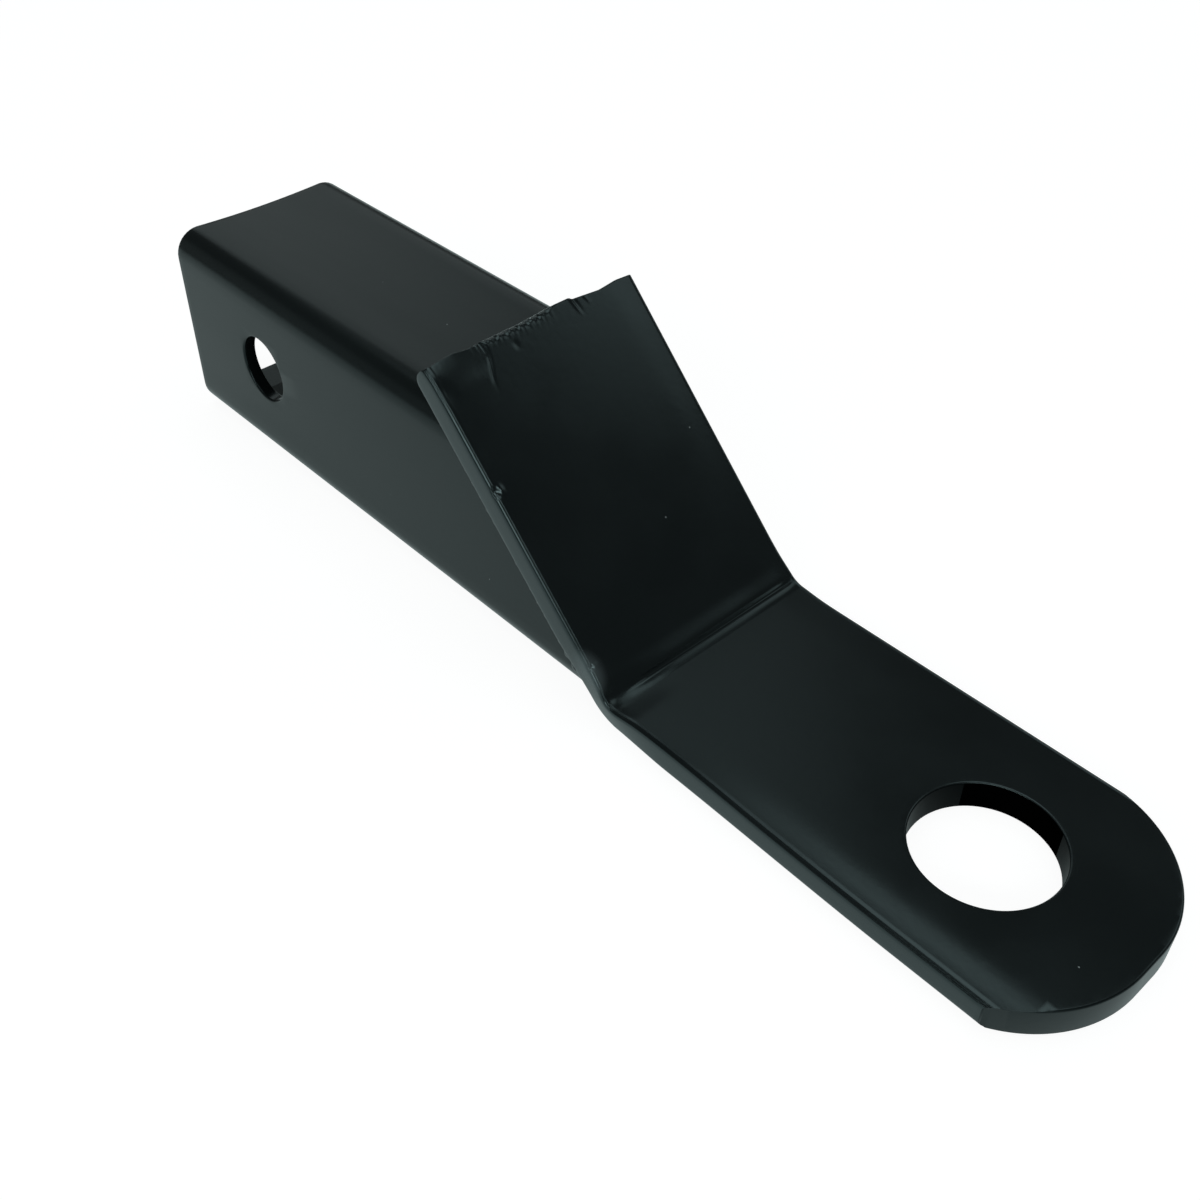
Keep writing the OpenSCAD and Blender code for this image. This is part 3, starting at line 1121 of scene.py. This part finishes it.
# %% Lay the four welds
top_leg, toe_leg, side_leg = 5.0, 2.5, 3.2
sink = 0.4
toe_gap = 0.3
side_inset, side_set_back, side_shorter = 0.5, 0.3, 0.88
flat_half = tube_half - tube_corner_r
reach = flat_half - RIPPLE / 2
seam_top_x = mitre_sum - tube_high.z
toe = Vector((tube_high.x, 0, tube_low.z + toe_leg + toe_gap))
back_normal = Vector((-1, 0, -1)).normalized()
back_point = (mitre_sum - tube_axis_z + sink, 0, tube_axis_z)
slope = Vector((1, 0, -1)).normalized() * (2 * flat_half / math.sin(bend_angle) - RIPPLE) / 2
welds = []


def lay_weld(node, start, end, leg, seed, *planes):
    """One run over a CAD weld, which it replaces."""
    welds.append(weld_run(f"{node}_bead", start, end, leg, seed, planes, weld_coat))
    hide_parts(node)


lay_weld(
    "weld_top", (seam_top_x, -reach, tube_high.z), (seam_top_x, reach, tube_high.z), top_leg, 3,
    ((0, 0, tube_high.z - top_dip - sink), (0, 0, 1)), (back_point, back_normal),
)
lay_weld(
    "weld_bottom", toe + Vector((0, -reach, 0)), toe + Vector((0, reach, 0)), toe_leg, 5,
    ((0, 0, tongue_top - bar_t + sink), (0, 0, -1)),
)
for node, side, seed in (("weld_left", 1, 7), ("weld_right", -1, 11)):
    middle = Vector((mitre_sum - tube_axis_z, side * (tube_half - side_inset), tube_axis_z))
    middle -= back_normal * side_set_back
    lay_weld(
        node, middle - slope, middle + slope * side_shorter, side_leg, seed,
        ((0, side * (tube_half - sink), 0), (0, side, 0)), (back_point, back_normal),
    )
print("welds:", [count(w) for w in welds], "triangles")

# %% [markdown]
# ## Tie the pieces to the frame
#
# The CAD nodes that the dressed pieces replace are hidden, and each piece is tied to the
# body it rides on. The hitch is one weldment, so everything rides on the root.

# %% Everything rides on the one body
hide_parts("shank_tube")
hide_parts("tongue_plate")
for piece in (tube, bar, *welds):
    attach(piece, "root")
print("pieces:", ", ".join(piece.name for piece in (tube, bar, *welds)))

# %% [markdown]
# ## Floor and room
#
# A black satin part shows what stands round it and hardly any light of its own. So the
# room is dim and the floor is pale paper. The paper glows a little for the camera, so that
# it reads as white, and less in reflections, so that the part's sides show it. To all
# other light it is plain paper, and it keeps the part's soft shadow.

# %% Floor
FLOOR_SIZE = 6.0
PAPER_GLOW = 1.23
GLOW_TO_CAMERA, GLOW_TO_GLOSS = 0.75, 0.32
WHITE = (1, 1, 1, 1)
paper_colour = (0.88, 0.88, 0.88, 1)
paper_in_gloss = (0.8, 1, 0.99, 1)


def floor_material():
    """White paper that glows for the camera and, less, in reflections."""
    finish = bpy.data.materials.new("floor_paper")
    finish.use_nodes = True
    tree = finish.node_tree
    tree.nodes.clear()
    ray = put(tree, "ShaderNodeLightPath").outputs
    tint = put(
        tree, "ShaderNodeMix", {"Factor": ray["Is Glossy Ray"]},
        {MIX_FIRST: WHITE, MIX_SECOND: paper_in_gloss}, data_type="RGBA",
    )
    glow = put(
        tree, "ShaderNodeEmission", {"Color": tint.outputs[MIX_RESULT]},
        {"Strength": PAPER_GLOW},
    )
    paper = put(tree, "ShaderNodeBsdfDiffuse", values={"Color": paper_colour})
    in_gloss = put(
        tree, "ShaderNodeMath", {0: ray["Is Glossy Ray"]}, {1: GLOW_TO_GLOSS},
        operation="MULTIPLY",
    )
    share = put(
        tree, "ShaderNodeMath", {0: ray["Is Camera Ray"], 2: in_gloss.outputs[0]},
        {1: GLOW_TO_CAMERA}, operation="MULTIPLY_ADD",
    )
    mix = put(
        tree, "ShaderNodeMixShader",
        {"Fac": share.outputs[0], 1: paper.outputs[0], 2: glow.outputs[0]},
    )
    put(tree, "ShaderNodeOutputMaterial", {"Surface": mix.outputs[0]})
    return finish


half_floor = FLOOR_SIZE / 2 / MM
corners = ((-1, -1), (1, -1), (1, 1), (-1, 1))
floor = make_object(
    "floor", [(x * half_floor, y * half_floor, tube_low.z) for x, y in corners],
    [(0, 1, 2, 3)],
)
floor.data.materials.append(floor_material())
print(f"floor {FLOOR_SIZE:.0f} m wide at z {tube_low.z:.1f} mm")

# %% Room
dim_colour, dim_strength = (0.92, 1.0, 1.0, 1), 0.08
world = bpy.data.worlds.new("room")
bpy.context.scene.world = world
world.use_nodes = True
room = world.node_tree
room.nodes.clear()
to_camera = put(room, "ShaderNodeLightPath").outputs["Is Camera Ray"]
dim = put(
    room, "ShaderNodeBackground", values={"Color": dim_colour, "Strength": dim_strength},
)
white = put(room, "ShaderNodeBackground", values={"Color": WHITE})
pick = put(
    room, "ShaderNodeMixShader", {"Fac": to_camera, 1: dim.outputs[0], 2: white.outputs[0]},
)
put(room, "ShaderNodeOutputWorld", {"Surface": pick.outputs[0]})
print("room:", dim_strength, "of white to all but the camera")

# %% [markdown]
# ## Lamps
#
# Each lamp is a soft card, placed for what the coat mirrors to the camera. Faces that lie
# flat mirror what stands beyond the far side, towards the back, so three cards stand there.
# The bend and the leg look further forward, to the card called beyond. The rounded near
# corner of the tube sees the near card, and the leg's near edge the long narrow window. The
# overhead card is the soft light from above.

# %% Lamps
LAMP_COLOUR = (0.88, 1, 1)
AIM = Vector((0.1, 0, 0))


def card(name, bearing, elevation, distance, width, height, glow):
    """A soft area lamp round the part; glow is how bright it looks, where 1 is white."""
    lamp = bpy.data.lights.new(name, "AREA")
    lamp.shape = "RECTANGLE"
    lamp.size, lamp.size_y = width, height
    lamp.energy = glow * math.pi * width * height
    lamp.color = LAMP_COLOUR
    thing = bpy.data.objects.new(name, lamp)
    a, e = math.radians(bearing), math.radians(elevation)
    away = Vector((math.cos(a) * math.cos(e), math.sin(a) * math.cos(e), math.sin(e)))
    thing.location = away * distance + AIM
    thing.rotation_euler = away.to_track_quat("Z", "Y").to_euler()
    bpy.context.scene.collection.objects.link(thing)
    return thing


cards = [
    card("overhead", 90, 86, 1.5, 1.1, 1.1, 1.1),
    card("far_card", 148, 26, 1.6, 1.1, 0.5, 0.5),
    card("high_card", 171, 54, 1.5, 0.5, 0.34, 0.85),
    card("mid_card", 138, 49, 1.5, 0.62, 0.42, 0.24),
    card("beyond", 68, 40, 1.6, 0.75, 0.55, 0.64),
    card("near_card", 218, 16, 1.6, 0.9, 0.6, 0.14),
    card("window", -58, 33, 1.5, 2.0, 0.26, 4.0),
]
print("lamps:", ", ".join(lamp.name for lamp in cards))

# %% [markdown]
# ## The camera
#
# The camera was solved from the photograph: its place and its two angles come from the
# tube's long edges, the bar's edges and both round holes. The small shift is the
# photograph's own framing.

# %% Camera
PHOTO = 1200
focal_px = 1390.5
centre_x_px, centre_y_px = 585.8, 590.9
eye = Vector((276.465, -167.698, 187.522))
heading, down = math.radians(137.631), math.radians(41.04)
look = Vector((
    math.cos(heading) * math.cos(down), math.sin(heading) * math.cos(down), -math.sin(down)
))
lens = bpy.data.cameras.new("camera")
lens.sensor_width = 36
lens.lens = focal_px / PHOTO * lens.sensor_width
lens.shift_x = (PHOTO / 2 - centre_x_px) / PHOTO
lens.shift_y = (centre_y_px - PHOTO / 2) / PHOTO
lens.clip_start, lens.clip_end = 0.01, 50
camera = bpy.data.objects.new("camera", lens)
camera.location = eye * MM
camera.rotation_euler = look.to_track_quat("-Z", "Y").to_euler()
bpy.context.scene.collection.objects.link(camera)
bpy.context.scene.camera = camera
bpy.context.scene.view_settings.view_transform = "Standard"
print(f"camera {lens.lens:.2f} mm at {[round(c) for c in eye]} mm")
